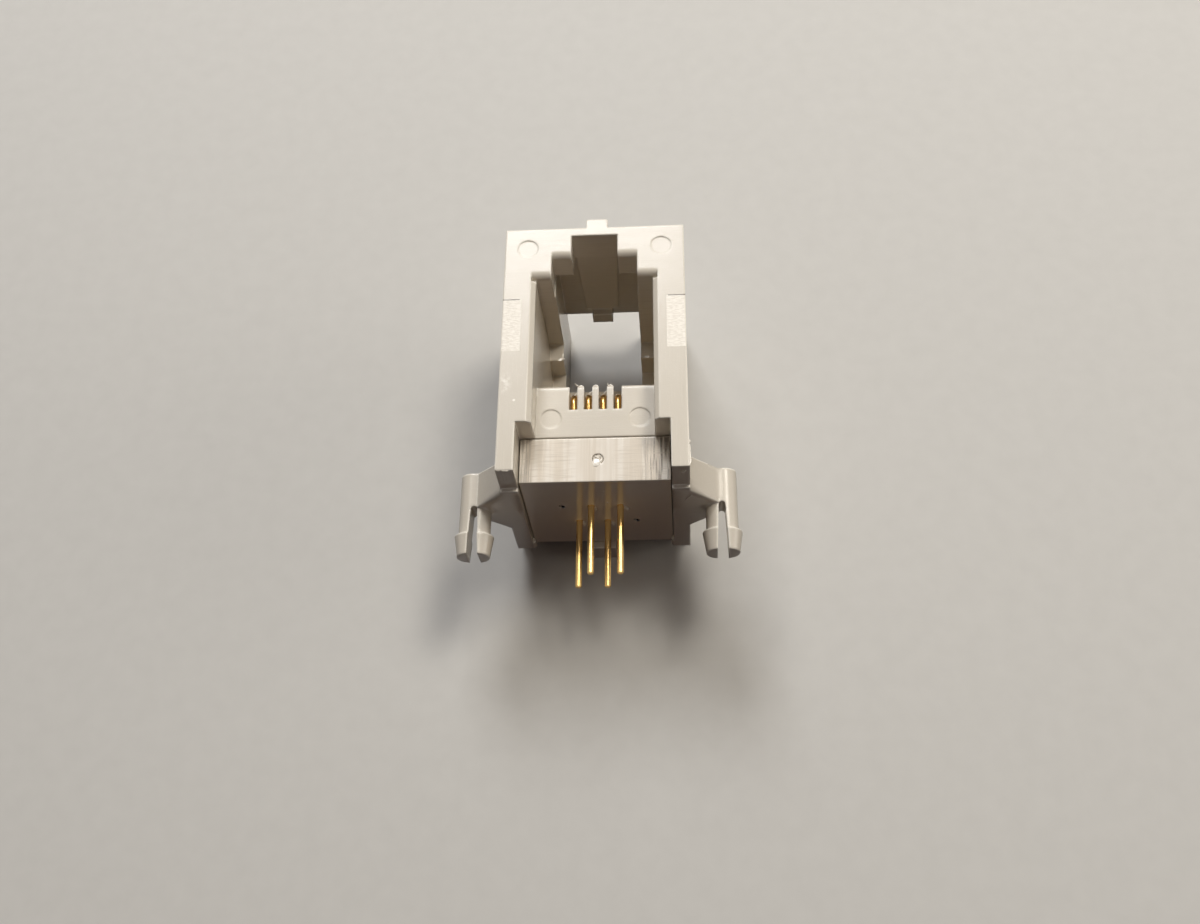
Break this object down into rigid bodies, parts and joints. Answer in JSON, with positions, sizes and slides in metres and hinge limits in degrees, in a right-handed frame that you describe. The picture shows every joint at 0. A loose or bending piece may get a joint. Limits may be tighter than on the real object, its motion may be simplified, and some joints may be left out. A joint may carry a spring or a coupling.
{
  "type": "modular jack",
  "caption": "Board-mount modular jack with a stepped plug port and latch slot, a comb for the sprung contact wires, a separate contact block and split snap-in pegs.",
  "frame": {"origin": "centre of the bounding box's bottom face, at the rear end that the jack stands on", "axes": "+Z the way a plug is pulled out, square to the mating face; -Y the circuit board side, the way pins and pegs point; +X across the jack, to the right when looking from the board side with the mating face up"},
  "size_m": [0.0196, 0.0246, 0.0147],
  "materials": {
    "housing_plastic": "satin moulded surface",
    "block_plastic": "satin moulded surface",
    "plated_wire": "bright gold plating on drawn wire"
  },
  "bodies": {
    "root": {"housing": "housing_plastic", "contact_block": "block_plastic", "contact_1": "plated_wire", "contact_2": "plated_wire", "contact_3": "plated_wire", "contact_4": "plated_wire"}
  },
  "joints": []
}
